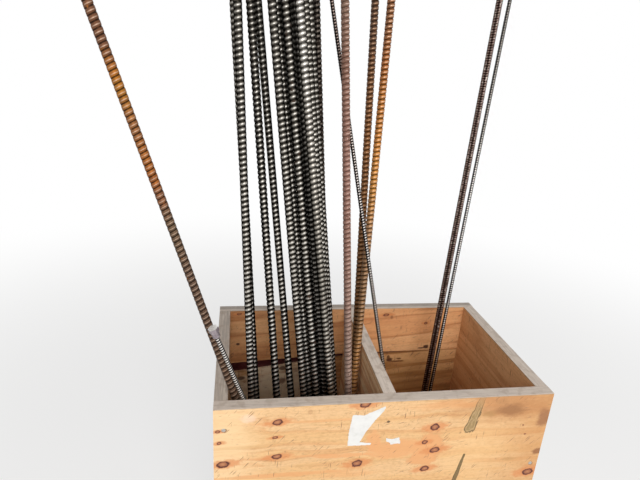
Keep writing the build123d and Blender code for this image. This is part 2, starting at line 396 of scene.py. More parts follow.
@dataclass(frozen=True)
class FilmFacedPly(Finish):
    """Film-faced birch plywood: a smooth dark red phenolic film, scuffed by use.

    Its sawn upper edge shows the veneers, weathered as grey as the boards beside it.
    """

    name: str = "film_faced_plywood"

    def _surface(self, tree: NodeTree, place: NodeSocket) -> Node:
        """Builds the dark red film with dusty scuffs."""
        dust = add(tree, "TexNoise", place, scale=40.0, detail=6.0, roughness=0.65)
        film, veneer = (
            add(tree, "ValToRGB", dust, stops=stops)
            for stops in (
                ((0.35, "#3a0f12"), (0.55, "#4b1719"), (0.78, "#6d3a35")),
                ((0.3, "#8f8275"), (0.55, "#a5978a"), (0.8, "#b8aa9b")),
            )
        )
        height = add(tree, "SeparateXYZ", place).outputs[2]
        edge = add(tree, "MapRange", height, BIN_RIM - 1.0 * MM, BIN_RIM - 0.2 * MM)
        colour = add(tree, "Mix", edge, film, veneer)
        rough = add(tree, "MapRange", dust, to_min=0.3, to_max=0.6)
        relief = add(tree, "Bump", strength=0.2, distance=0.3 * MM, height=dust)
        return add(tree, "BsdfPrincipled", base_color=colour, roughness=rough, normal=relief)


# --- steel ---


@dataclass(frozen=True)
class RolledSteel(Finish):
    """Hot-rolled bar steel with its scale and rust.

    Mill scale or rust covers the bar, dark on its two plain sides, and the grooves are darkened
    further with painted shade under each rib. The two ribbed faces are paler and the rib tops near
    white: partly polish from handling and from rubbing on other bars, partly a painted highlight, as
    the bars are turned so that these faces meet the viewer and the lamp. crest_top is how much of
    the rib tops' paint is left in the bar's upper part. shade is a ramp multiplied over the whole
    colour along the bar.
    """

    name: str
    along: tuple[tuple[float, str], ...]
    crest: str
    polished_highlight: str = "#5d5a55"
    polish_highlight: float = 0.0
    crest_wear_highlight: float = 0.6
    crest_top: float = 1.0
    crest_from: float = 0.55
    groove: float = 0.5
    rust: str = "#7a4a30"
    rust_share: float = 0.1
    metallic: float = 1.0
    roughness: float = 0.4
    spots_per_metre: float = 70.0
    grazing: str = "#3a3836"
    bare_specks: float = 0.0
    rub_highlight_from: float = 0.5
    rub_to: float = 0.95
    shade: tuple[tuple[float, str], ...] = ((0.0, "#ffffff"), (1.0, "#ffffff"))

    def _surface(self, tree: NodeTree, place: NodeSocket) -> Node:
        """Builds scale or rust that changes along the bar, rubbed faces with a painted highlight,
        grooves with painted shade, and rust spots.
        """
        length, crest, face, tone = (
            add(tree, "Attribute", attribute_name=key).outputs["Fac"]
            for key in ("along", "crest", "face", "tone")
        )
        cloud = add(tree, "TexNoise", place, scale=self.spots_per_metre, detail=5.0, roughness=0.62)
        grit = add(tree, "TexNoise", place, scale=900.0, detail=3.0, roughness=0.6)
        shifted = add(tree, "Math MULTIPLY_ADD", cloud, 0.05, length)
        shifted = add(tree, "Math SUBTRACT", shifted, 0.025)
        body = add(tree, "ValToRGB", shifted, stops=self.along)
        mottle = add(tree, "MapRange", cloud, 0.3, 0.7, to_min=0.78, to_max=1.2)
        body = add(tree, "Mix MULTIPLY", 1.0, body, mottle)
        # Painted highlight, partly polish: the ribbed faces, turned toward the viewer, get the paler
        # polished colour.
        rubbed_highlight = add(tree, "MapRange SMOOTHSTEP", face, self.rub_highlight_from, self.rub_to)
        bright = add(tree, "Math MULTIPLY", rubbed_highlight, self.polish_highlight)
        body = add(tree, "Mix", bright, body, self.polished_highlight)
        # Painted shade: the grooves under the ribs are darkened.
        groove_shade = add(
            tree, "MapRange SMOOTHSTEP", crest, from_max=0.4, to_min=1.0 - self.groove, to_max=1.0
        )
        body = add(tree, "Mix MULTIPLY", 1.0, body, groove_shade)
        # Rib tops near white: partly wear, partly painted highlight.
        worn_highlight = add(tree, "MapRange", crest, from_min=self.crest_from, to_max=self.crest_wear_highlight)
        facing = add(tree, "MapRange", rubbed_highlight, to_min=0.3)
        higher = add(tree, "MapRange", length, 0.46, 0.62, to_min=1.0, to_max=self.crest_top)
        for share in (facing, higher, grit):
            worn_highlight = add(tree, "Math MULTIPLY", worn_highlight, share)
        worn_highlight = add(tree, "Math MULTIPLY", worn_highlight, 2.0, use_clamp=True)
        body = add(tree, "Mix", worn_highlight, body, self.crest)
        # Bright specks on the ribbed faces: partly bare metal, partly painted highlight.
        if self.bare_specks > 0:
            speck = add(tree, "TexNoise", place, scale=210.0, detail=2.0)
            speck = add(tree, "MapRange", speck, 0.59, 0.65, to_max=self.bare_specks)
            speck = add(tree, "Math MULTIPLY", speck, rubbed_highlight)
            body = add(tree, "Mix", speck, body, self.crest)
        rusty = add(tree, "Math MULTIPLY_ADD", tone, 0.35, cloud)
        edge = 0.92 - self.rust_share
        rusted = add(tree, "MapRange SMOOTHSTEP", rusty, edge - 0.05, edge + 0.07)
        colour = add(tree, "Mix", rusted, body, self.rust)
        shade = add(tree, "ValToRGB", length, stops=self.shade)
        colour = add(tree, "Mix MULTIPLY", 1.0, colour, shade)
        metal = add(tree, "MapRange", rusted, to_min=self.metallic, to_max=0.0)
        dull = add(tree, "Math MULTIPLY_ADD", grit, 0.25, self.roughness - 0.12)
        dull = add(tree, "Math MULTIPLY_ADD", rusted, 0.35, dull)
        relief = add(tree, "Bump", strength=0.35, distance=0.15 * MM, height=grit)
        return add(
            tree, "BsdfPrincipled", base_color=colour, metallic=metal, roughness=dull,
            normal=relief, specular_tint=self.grazing,
        )


@dataclass(frozen=True)
class ZincPlate(Finish):
    """Zinc-plated turned steel: mauve-grey and dull at the sides, with faces that point up painted
    paler as a highlight.
    """

    name: str = "zinc_plated_steel"
    pale: str = "#b0a6aa"
    dull: str = "#857a82"
    bright: str = "#eceae6"

    def _surface(self, tree: NodeTree, place: NodeSocket) -> Node:
        """Builds plating with cloudy dull areas, and a painted highlight where it faces up."""
        cloud = add(tree, "TexNoise", place, scale=220.0, detail=4.0, roughness=0.6)
        colour = add(tree, "ValToRGB", cloud, stops=((0.35, self.dull), (0.65, self.pale)))
        # Painted highlight: faces that point up get the pale colour.
        upward_highlight = add(tree, "NewGeometry").outputs["Normal"]
        upward_highlight = add(tree, "SeparateXYZ", upward_highlight).outputs[2]
        upward_highlight = add(tree, "MapRange", upward_highlight, 0.6, 0.8)
        colour = add(tree, "Mix", upward_highlight, colour, self.bright)
        rough = add(tree, "MapRange", cloud, to_min=0.5, to_max=0.25)
        return add(tree, "BsdfPrincipled", base_color=colour, metallic=0.7, roughness=rough)


SCREW_PLATE = ZincPlate("zinc_plated_screw_steel", "#cfccc6", "#a7a39c", "#d8d5cf")


@dataclass(frozen=True)
class OfficePaper(Finish):
    """Uncoated white paper, torn by hand: matt, faintly grey, fibrous at its edges."""

    name: str = "torn_white_paper"

    def _surface(self, tree: NodeTree, place: NodeSocket) -> Node:
        """Builds matt white paper with faint handling marks."""
        marks = add(tree, "TexNoise", place, scale=60.0, detail=5.0)
        stops = ((0.3, "#d2d2cd"), (0.5, "#dfdedb"), (0.8, "#e6e6e2"))
        colour = add(tree, "ValToRGB", marks, stops=stops)
        relief = add(tree, "Bump", strength=0.2, distance=0.2 * MM, height=marks)
        return add(tree, "BsdfPrincipled", base_color=colour, roughness=0.85, normal=relief)


# --- meshes ---


def put(name: str, data: bpy.types.ID) -> Object:
    """Makes an object of a mesh, lamp or camera and links it into the scene."""
    made = bpy.data.objects.new(name, data)
    bpy.context.scene.collection.objects.link(made)
    return made


def dress(node: str, material: Material) -> None:
    """Gives one CAD node, which keeps its shape, a new material."""
    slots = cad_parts[node].data.materials
    slots.clear()
    slots.append(material)
    LOG.info("dressed %s as %s", node, material.name)


def make_piece(
    name: str, points: Array, triangles: Array, material: Material,
    values: dict[str, Array] | None = None, crease_degrees: float = 70.0,
) -> Object:
    """Puts worked-out arrays into a mesh object at the origin.

    Args:
        name: The piece's name.
        points: Vertices, one row each, in metres.
        triangles: Vertex numbers, three a row, counterclockwise from outside.
        material: The finish.
        values: Named numbers per vertex for the finish to read.
        crease_degrees: Edges that bend more than this stay sharp.

    Returns:
        The new object, riding on the root body.
    """
    mesh = bpy.data.meshes.new(name)
    mesh.vertices.add(len(points))
    mesh.vertices.foreach_set("co", points.astype(np.float32).ravel())
    mesh.loops.add(triangles.size)
    mesh.loops.foreach_set("vertex_index", triangles.astype(np.int32).ravel())
    mesh.polygons.add(len(triangles))
    mesh.polygons.foreach_set("loop_start", np.arange(0, triangles.size, 3, dtype=np.int32))
    mesh.polygons.foreach_set("use_smooth", np.ones(len(triangles), dtype=bool))
    mesh.update(calc_edges=True)
    for key, numbers in (values or {}).items():
        layer = mesh.attributes.new(key, "FLOAT", "POINT")
        layer.data.foreach_set("value", numbers.astype(np.float32))
    mesh.set_sharp_from_angle(angle=math.radians(crease_degrees))
    mesh.materials.append(material)
    piece = put(name, mesh)
    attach(piece, ROOT)
    return piece


@dataclass(frozen=True)
class BarLine:
    """The straight line of one bar, from the middle of its foot to the middle of its top."""

    foot: Array
    top: Array
    radius: float

    @property
    def length(self) -> float:
        """The bar's length."""
        return float(np.linalg.norm(self.top - self.foot))

    def sides(self) -> tuple[Array, Array, Array]:
        """Unit vectors along the bar, to its right and away from the viewer."""
        along = (self.top - self.foot) / self.length
        right = np.array([1.0, 0.0, 0.0]) - along[0] * along
        right /= np.linalg.norm(right)
        return along, right, np.cross(along, right)


def bar_lines(node: Object) -> list[BarLine]:
    """Reads the axes of the straight round bars in one node of the frame.

    The mesh is loose triangles, so equal corners are merged, triangles that share a corner are
    labelled as one bar, and each bar's long direction is the main one of its corners' spread.

    Args:
        node: The node's object.

    Returns:
        One line a bar, in order of the foot's place from left to right.
    """
    mesh = node.data
    corners = np.empty(len(mesh.vertices) * 3)
    mesh.vertices.foreach_get("co", corners)
    corners = corners.reshape(-1, 3)
    mesh.calc_loop_triangles()
    faces = np.empty(len(mesh.loop_triangles) * 3, dtype=np.int64)
    mesh.loop_triangles.foreach_get("vertices", faces)
    _, first, merged = np.unique(
        np.round(corners, 6), axis=0, return_index=True, return_inverse=True
    )
    points = corners[first]
    faces = merged.reshape(-1)[faces].reshape(-1, 3)
    label = np.arange(len(points))
    while True:
        lowest = label[faces].min(axis=1)
        spread = label.copy()
        for side in range(3):
            np.minimum.at(spread, faces[:, side], lowest)
        spread = spread[spread]
        if np.array_equal(spread, label):
            break
        label = spread
    lines = []
    for island in np.unique(label[faces[:, 0]]):
        mine = points[label == island]
        middle = mine.mean(axis=0)
        direction = np.linalg.svd(mine - middle, full_matrices=False)[2][0]
        direction = direction * np.sign(direction[2])
        reach = (mine - middle) @ direction
        foot = mine[reach < 0].mean(axis=0)
        top = mine[reach > 0].mean(axis=0)
        away = mine - middle - np.outer(reach, direction)
        lines.append(BarLine(foot, top, float(np.linalg.norm(away, axis=1).max())))
    return sorted(lines, key=lambda line: float(line.foot[0]))


@dataclass(frozen=True)
class RibPattern:
    """A rolled or cut helix round a bar.

    rows gives, for one turn, pairs of place (share of the pitch) and height (share of the full
    height). bare is the sine of the half angle that stays plain at two opposite sides.
    """

    pitch: float
    height: float
    rows: tuple[tuple[float, float], ...]
    around: int
    bare: float = 0.0
    end_fade: float = 12 * MM
    sunk: bool = False


COARSE_RIBS = RibPattern(
    pitch=10 * MM, height=1.0 * MM,
    rows=((0.0, 0.0), (0.12, 0.82), (0.32, 1.0), (0.56, 0.88), (0.69, 0.0)), around=16, bare=0.26,
)
# Rust fills the grooves of the rusty bars, so they look narrower.
RUSTED_RIBS = RibPattern(
    pitch=10 * MM, height=1.0 * MM,
    rows=((0.0, 0.0), (0.07, 0.86), (0.34, 1.0), (0.7, 0.88), (0.8, 0.0)), around=16, bare=0.26,
)
# Real pitches are 4.2 mm and 1.5 mm, too fine to show, so both are drawn coarser.
FINE_RIBS = RibPattern(
    pitch=5.6 * MM, height=0.5 * MM, rows=((0.0, 0.0), (0.2, 1.0), (0.45, 1.0), (0.65, 0.0)),
    around=10, bare=0.2,
)
CUT_THREAD = RibPattern(
    pitch=5.2 * MM, height=0.7 * MM, rows=((0.0, 0.0), (0.2, 1.0), (0.5, 1.0), (0.7, 0.0)),
    around=12, end_fade=2 * MM, sunk=True,
)


def ribbed_bar(line: BarLine, ribs: RibPattern, turn: float) -> tuple[Array, Array, dict]:
    """Works out one bar with its helix.

    A point's height on the bar is its row's height plus the pitch times its share of a full turn,
    so the rows climb as the ribs do. After one full turn a row meets the row one pitch higher.
    Rows past an end are drawn together onto that end's ring.

    Args:
        line: The bar's line and core radius.
        ribs: The helix.
        turn: Where the plain sides lie, in radians.

    Returns:
        Points, triangles, and for each point its share of the length ("along"), its share of the
        rib height ("crest") and how squarely it lies on a ribbed face ("face").
    """
    around, per_turn = ribs.around, len(ribs.rows)
    row = np.arange((math.ceil(line.length / ribs.pitch) + 4) * per_turn)
    place, tall = np.array(ribs.rows)[row % per_turn].T
    share = np.arange(around) / around
    height = (ribs.pitch * (row // per_turn - 2 + place))[:, None] + ribs.pitch * share
    angle = 2 * math.pi * share
    from_end = np.minimum(height, line.length - height)
    pattern = tall[:, None] * np.clip(from_end / ribs.end_fade, 0, 1)
    side = np.abs(np.sin(angle - turn))
    raised = pattern
    if ribs.bare > 0:
        fade = np.clip((side - ribs.bare * 0.55) / (ribs.bare * 0.75), 0, 1)
        raised = pattern * (fade * fade * (3 - 2 * fade))
    radius = line.radius + (raised - ribs.sunk) * ribs.height
    column = np.arange(around)
    low_ring = height.size + column
    high_ring, middle = low_ring + around, height.size + 2 * around
    number = np.where(height <= 0, low_ring, np.arange(height.size).reshape(height.shape))
    number = np.where(height >= line.length, high_ring, number)
    following = (column + 1) % around
    climb = np.where(following == 0, per_turn, 0)
    lower = row[: -per_turn - 1, None]
    a, d = number[lower, column], number[lower + 1, column]
    b, c = number[lower + climb, following], number[lower + 1 + climb, following]
    faces = np.concatenate([np.stack([a, b, c], -1), np.stack([a, c, d], -1)]).reshape(-1, 3)
    same = (faces == np.roll(faces, 1, axis=1)).any(axis=1)
    low_cap = np.stack([np.full(around, middle), low_ring[following], low_ring], -1)
    high_cap = np.stack([np.full(around, middle + 1), high_ring, high_ring[following]], -1)
    faces = np.concatenate([faces[~same], low_cap, high_cap])
    ends = np.repeat([0.0, line.length], around)
    levels = np.concatenate([np.clip(height, 0, line.length).ravel(), ends, [0.0, line.length]])
    ends_radius = np.full(2 * around, line.radius - ribs.sunk * ribs.height)
    radii = np.concatenate([radius.ravel(), ends_radius, [0.0, 0.0]])
    angles = np.concatenate([np.tile(angle, len(row) + 2), [0.0, 0.0]])
    crest = np.concatenate([pattern.ravel(), np.zeros(2 * around + 2)])
    face = np.concatenate([np.tile(side, len(row) + 2), [0.0, 0.0]])
    along, right, back = line.sides()
    points = line.foot + np.outer(levels, along) + np.outer(radii * np.cos(angles), right)
    points = points + np.outer(radii * np.sin(angles), back)
    kept, faces = np.unique(faces, return_inverse=True)
    values = {"along": levels[kept] / line.length, "crest": crest[kept], "face": face[kept]}
    return points[kept], faces.reshape(-1, 3), values


@dataclass
class BarGroup:
    """Some bars of one finish, read from one node of the frame.

    turns are the angles of the bars' plain sides in degrees, from left to right, set so that the
    painted highlight on each bar's ribbed faces lies where light falls on it; tones are how rusty
    each one is, from 0 to 1. first is the number of the node's bars left of them.
    """

    name: str
    node: str
    slot: str
    finish: RolledSteel
    ribs: RibPattern
    turns: tuple[float, ...]
    tones: tuple[float, ...]
    first: int = 0

    def build(self, material: Material) -> Object:
        """Builds the group's bars as one piece.

        Args:
            material: The finish, already made.

        Returns:
            The piece, which stands for its node.
        """
        lines = bar_lines(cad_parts[self.node])[self.first :]
        bars, start = [], 0
        for line, turn, rust in zip(lines, self.turns, self.tones):
            points, faces, values = ribbed_bar(line, self.ribs, math.radians(turn))
            values["tone"] = np.full(len(points), rust)
            bars.append((points, faces + start, values))
            start += len(points)
        points, faces, parts = zip(*bars)
        values = {key: np.concatenate([part[key] for part in parts]) for key in parts[0]}
        piece = make_piece(
            self.name, np.concatenate(points), np.concatenate(faces), material, values
        )
        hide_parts(self.node)
        return piece


# The shade ramp keeps the foot paler than the upper part: painted light against the bin's shadow on
# the bars' lower ends.
MILL_SCALE = RolledSteel(
    "mill_scale_bar_steel",
    ((0.0, "#33302d"), (0.35, "#2d2a28"), (0.46, "#2b2927"), (0.54, "#46423e"), (1.0, "#4a4641")),
    "#fffdf8", polished_highlight="#76716a", polish_highlight=0.85, crest_wear_highlight=1.0, crest_top=0.5, crest_from=0.86,
    groove=0.8, rust="#4d3a30", rust_share=0.1, rub_highlight_from=0.6, rub_to=0.78,
    shade=(
        (0.0, "#ffffff"), (0.3, "#ffffff"), (0.37, "#e0deda"), (0.52, "#cccac6"), (1.0, "#c4c1bd")
    ),
)
# Paler body colours than the mill scale, and a wider pale strip on the ribbed faces, which is partly
# painted highlight.
WORN_SCALE = RolledSteel(
    "worn_bar_steel", ((0.0, "#4a4742"), (0.4, "#55524b"), (0.5, "#6a665e"), (1.0, "#6f6a62")),
    "#f1ede5", polished_highlight="#96918a", polish_highlight=0.9, crest_wear_highlight=0.8, crest_top=0.7, crest_from=0.86,
    groove=0.8, rust="#6d5c4e", rust_share=0.1, rub_highlight_from=0.36, rub_to=0.8,
    shade=(
        (0.0, "#ffffff"), (0.3, "#f6f4f1"), (0.38, "#b8b6b2"), (0.46, "#cbc9c5"), (0.54, "#e8e6e3"),
        (0.6, "#ffffff"),
    ),
)
UMBER_STEEL = RolledSteel(
    "umber_bar_steel", ((0.0, "#322c28"), (0.4, "#2a2521"), (1.0, "#27221e")), "#d8cec4",
    polished_highlight="#453d37", polish_highlight=0.7, crest_wear_highlight=0.7, groove=0.5, rust="#3a302b", rust_share=0.2,
    roughness=0.36, bare_specks=0.8,
    shade=((0.0, "#f0eeec"), (0.35, "#e6e4e2"), (0.44, "#bcb8b4"), (1.0, "#b0aca8")),
)
BROWN_STEEL = RolledSteel(
    "brown_bar_steel", ((0.0, "#3c241b"), (0.4, "#40261d"), (1.0, "#372019")), "#e6dad0",
    polished_highlight="#613f33", polish_highlight=0.65, crest_wear_highlight=0.25, groove=0.8, rust="#3b2b24", rust_share=0.15,
    roughness=0.34, grazing="#2a2321", bare_specks=0.45,
)
PATCHY_RUST = RolledSteel(
    "patchy_rust_bar_steel",
    (
        (0.0, "#45352b"), (0.35, "#574336"), (0.43, "#5a473b"), (0.48, "#63513f"),
        (0.505, "#75503a"), (0.52, "#93572b"), (0.54, "#9a5e2c"), (0.56, "#875a38"),
        (0.575, "#8a5b36"), (0.59, "#a06a2a"), (0.61, "#a06428"), (0.625, "#6d4a36"),
        (1.0, "#5a4133"),
    ),
    "#d9bda6", crest_wear_highlight=0.55, crest_from=0.95, groove=0.82, rust="#9a6030", rust_share=0.13,
    metallic=0.25, roughness=0.46, grazing="#8f6a55", spots_per_metre=110.0,
)
# Paler towards the foot, below about 0.3 of the length: painted light against the bin's shadow on the
# lower end.
MAUVE_RUST = RolledSteel(
    "mauve_rust_bar_steel",
    (
        (0.0, "#bb9f92"), (0.25, "#b39789"), (0.3, "#9d8376"), (0.42, "#957062"), (0.5, "#997266"),
        (0.6, "#876454"), (0.66, "#846a5a"), (1.0, "#806656"),
    ),
    "#e8d0c5", crest_wear_highlight=0.6, crest_from=0.94, groove=0.6, rust="#6b4f45", rust_share=0.2,
    metallic=0.1, roughness=0.6, spots_per_metre=180.0,
)
# Paler towards the foot, below about 0.3 of the length: painted light against the bin's shadow on the
# lower end.
ORANGE_RUST = RolledSteel(
    "orange_rust_bar_steel",
    (
        (0.0, "#c08f66"), (0.24, "#c48c54"), (0.275, "#b07e4c"), (0.31, "#8c6744"),
        (0.38, "#906d4e"), (0.43, "#9c7450"), (0.47, "#b8803f"), (0.52, "#bb7c3c"),
        (0.585, "#a06430"), (0.61, "#965a30"), (0.64, "#85583a"), (1.0, "#785038"),
    ),
    "#f0d2b6", crest_wear_highlight=0.65, crest_from=0.94, groove=0.84, rust="#b8712e", rust_share=0.14,
    metallic=0.3, roughness=0.44, grazing="#8f6a4a", spots_per_metre=110.0,
)
GOLDEN_RUST = RolledSteel(
    "golden_rust_bar_steel",
    (
        (0.0, "#6a4a2f"), (0.34, "#6f4d2f"), (0.45, "#765030"), (0.53, "#7d5230"),
        (0.58, "#6e4a30"), (0.63, "#5e4536"), (1.0, "#55433a"),
    ),
    "#e2bc9a", crest_wear_highlight=0.55, crest_from=0.94, groove=0.8, rust="#8a5226", rust_share=0.16,
    metallic=0.3, roughness=0.44, grazing="#8f6a4a", spots_per_metre=110.0,
)
GREY_ROD = RolledSteel(
    "grey_rod_steel", ((0.0, "#2f2b29"), (0.4, "#2a2725"), (1.0, "#2a2725")), "#ece8e4",
    polished_highlight="#6b6562", polish_highlight=0.85, crest_wear_highlight=0.55, groove=0.85, rust="#6a5548", rust_share=0.06,
    roughness=0.36, rub_to=0.85,
    shade=(
        (0.0, "#ffeee2"), (0.34, "#fff2e8"), (0.42, "#ffffff"), (0.52, "#e2dcd8"), (0.6, "#c2b0a8"),
        (1.0, "#b8a8a0"),
    ),
)
# A near-black rod with one narrow pale strip on its ribbed face: a painted highlight, partly polish.
RUBBED_HIGHLIGHT_ROD = RolledSteel(
    "rubbed_brown_rod_steel", ((0.0, "#1c1411"), (1.0, "#191210")), "#fffaf4", polished_highlight="#a8a09a",
    polish_highlight=0.95, crest_wear_highlight=0.8, groove=0.85, rust="#46332a", rust_share=0.08, roughness=0.34,
    grazing="#241d1b", rub_highlight_from=0.9, rub_to=0.97,
    shade=(
        (0.0, "#ffffff"), (0.46, "#ffffff"), (0.54, "#c8c6c2"), (0.62, "#b4b2ae"), (1.0, "#b0aeaa")
    ),
)
PLATED_THREAD = RolledSteel(
    "zinc_plated_thread", ((0.0, "#4a4440"), (1.0, "#544d49")), "#fdfaf6", polished_highlight="#8f8884",
    polish_highlight=0.5, crest_wear_highlight=1.0, groove=0.92, rust="#7c6c62", rust_share=0.05, roughness=0.34,
)

BAR_GROUPS = tuple(
    BarGroup(*row)
    for row in (
        ("Dark_bars_left", "dark_thread_bars", "dark_steel", MILL_SCALE, COARSE_RIBS,
         (2.0, 165.0, 20.0, 170.0, 3.0), (0.1, 0.1, 0.4, 0.2, 0.2)),
        ("Dark_bars_middle", "dark_thread_bars", "dark_steel", MILL_SCALE, COARSE_RIBS,
         (170.0, 8.0, 172.0, 88.0, 95.0), (0.2, 0.1, 0.5, 0.5, 0.4), 5),
        ("Worn_bar", "dark_thread_bars", "dark_steel", WORN_SCALE, COARSE_RIBS,
         (6.0,), (0.1,), 10),
        ("Dark_bars_right", "dark_thread_bars", "dark_steel", MILL_SCALE, COARSE_RIBS,
         (175.0, 8.0), (0.2, 0.5), 11),
        ("Brown_bar", "brown_thread_bar", "brown_steel", UMBER_STEEL, COARSE_RIBS,
         (76.0,), (0.5,)),
        ("Rusty_leaning_bar", "leaning_rusty_bar", "patchy_rust_steel", PATCHY_RUST, RUSTED_RIBS,
         (15.0,), (0.3,)),
        ("Mauve_bar", "mauve_rusty_bar", "mauve_rust_steel", MAUVE_RUST, RUSTED_RIBS,
         (35.0,), (0.4,)),
        ("Orange_bar", "orange_rusty_bars", "orange_rust_steel", ORANGE_RUST, RUSTED_RIBS,
         (20.0,), (0.3,)),
        ("Golden_bar", "orange_rusty_bars", "orange_rust_steel", GOLDEN_RUST, RUSTED_RIBS,
         (5.0,), (0.3,), 1),
        ("Grey_rod", "grey_ribbed_rod", "grey_rod_steel", GREY_ROD, FINE_RIBS,
         (15.0,), (0.1,)),
        ("Brown_rods", "brown_ribbed_rods", "brown_steel", BROWN_STEEL, FINE_RIBS,
         (-38.0, -12.0), (0.3, 0.5)),
        ("Rubbed_brown_rod", "brown_ribbed_rods", "brown_steel", RUBBED_HIGHLIGHT_ROD, FINE_RIBS,
         (-10.0,), (0.2,), 2),
        ("Threaded_rod", "threaded_rod", "zinc_plate", PLATED_THREAD, CUT_THREAD,
         (0.0,), (0.0,)),
    )
)


# --- bin ---


def front(across: float, below: float) -> tuple[float, float]:
    """A place on the front board, from its left side and below its rim, in mm of the frame."""
    return (across + BIN_LEFT / MM, BIN_RIM / MM - below)


def patches(*rows: tuple) -> tuple[Patch, ...]:
    """One patch for each row of its values."""
    return tuple(Patch(*row) for row in rows)


FRONT_KNOTS = tuple(
    Knot(*front(across, below), long, high)
    for across, below, long, high in (
        (122, 36, 10, 7), (123, 119, 11, 6.5), (289, 150, 11, 9), (293, 4, 11, 8.5),
        (446, 69, 10, 8.5), (429, 106, 6.5, 5), (454, 128, 11, 7.5), (438, 176, 10, 7),
        (683, 206, 13, 9), (18, 130, 13, 8), (118, 72, 5.5, 3), (8, 51, 5, 3.5), (11, 78, 4.5, 3.5),
        (210, 300, 12, 8), (560, 340, 11, 8), (95, 420, 13, 9), (330, 470, 10, 7),
        (610, 520, 12, 8), (450, 405, 9, 6),
    )
)
# The flame-shaped stain round the middle knots; its darker edge is FLAME_EDGE mm wide.
FLAME = (
    (385, 119, 92, 27), (441, 117, 32, 39), (318, 96, 18, 28), (262, 127, 70, 6), (425, 149, 34, 22)
)
FLAME_EDGE = 1.5
FRONT_PATCHES = tuple(
    Patch(*front(across, below), long, high, strength, code, soft)
    for across, below, long, high, strength, code, soft in (
        # The first patch darkens the board's right end: partly a more orange tone of the wood there,
        # partly painted shade.
        (750, 70, 180, 300, 0.6, "#c98f56", 1.2), (545, 135, 80, 80, 0.4, "#f0c48a", 1.2),
        (15, 90, 70, 190, 0.6, "#f7d5a6", 1.2), (605, 18, 150, 46, 0.75, "#b98050", 1.2),
        *(
            (across, below, long + FLAME_EDGE, high + FLAME_EDGE, 0.45, "#c07a48", 0.2)
            for across, below, long, high in FLAME[1:2] + FLAME[4:]
        ),
        *((*place, 0.85, "#e0a46e", 0.35) for place in FLAME),
        (200, 38, 130, 3.5, 0.6, "#e0a46c", 0.8), (150, 122, 150, 3, 0.55, "#dd9f68", 0.8),
        (130, 166, 175, 6, 0.7, "#dfa068", 0.7), (270, 176, 60, 9, 0.5, "#e2a872", 0.8),
        (470, 16, 90, 12, 0.5, "#e0a36b", 0.9), (60, 92, 70, 5, 0.4, "#d9b27a", 0.9),
        (612, 35, 32, 17, 0.8, "#98683f", 1.0), (587, 14, 16, 9, 0.45, "#b07f52", 1.0),
        (690, 62, 17, 24, 0.75, "#8f5c3a", 0.8), (694, 150, 13, 9, 0.8, "#87532f", 0.6),
        (688, 200, 26, 17, 0.6, "#cf8650", 0.8), (560, 44, 16, 8, 0.4, "#9a7845", 1.0),
        (629, 165, 18, 5, 0.4, "#b08a55", 0.9), (645, 77, 3.2, 2.6, 0.85, "#7c3f2a", 0.3),
        (654, 101, 4, 2.6, 0.8, "#7c3f2a", 0.3), (66, 24, 16, 10, 0.4, "#f6dccb", 0.9),
        # The dark spots at 20, 49 and 685, 183 are painted shadows round the screw heads there.
        (20, 49, 6, 5, 0.8, "#5f4a36", 0.4), (685, 183, 6, 5, 0.7, "#6a513b", 0.4),
        (345, 49, 3.6, 2.8, 0.95, "#5b4630", 0.3), (185, 17, 5, 7, 0.35, "#a9744a", 0.5),
        (575, 320, 60, 6, 0.5, "#dd9f68", 0.8), (250, 380, 200, 8, 0.5, "#dd9f68", 0.8),
        (420, 500, 220, 9, 0.5, "#dd9f68", 0.8),
    )
)
FRONT_STREAKS = (
    Streak(front(541, 2), front(524, 78), 12.0, 0.7, 0.35),
    Streak(front(523, 146), front(508, 226), 5.5, 0.5, 0.95, "#a9ab98"),
)

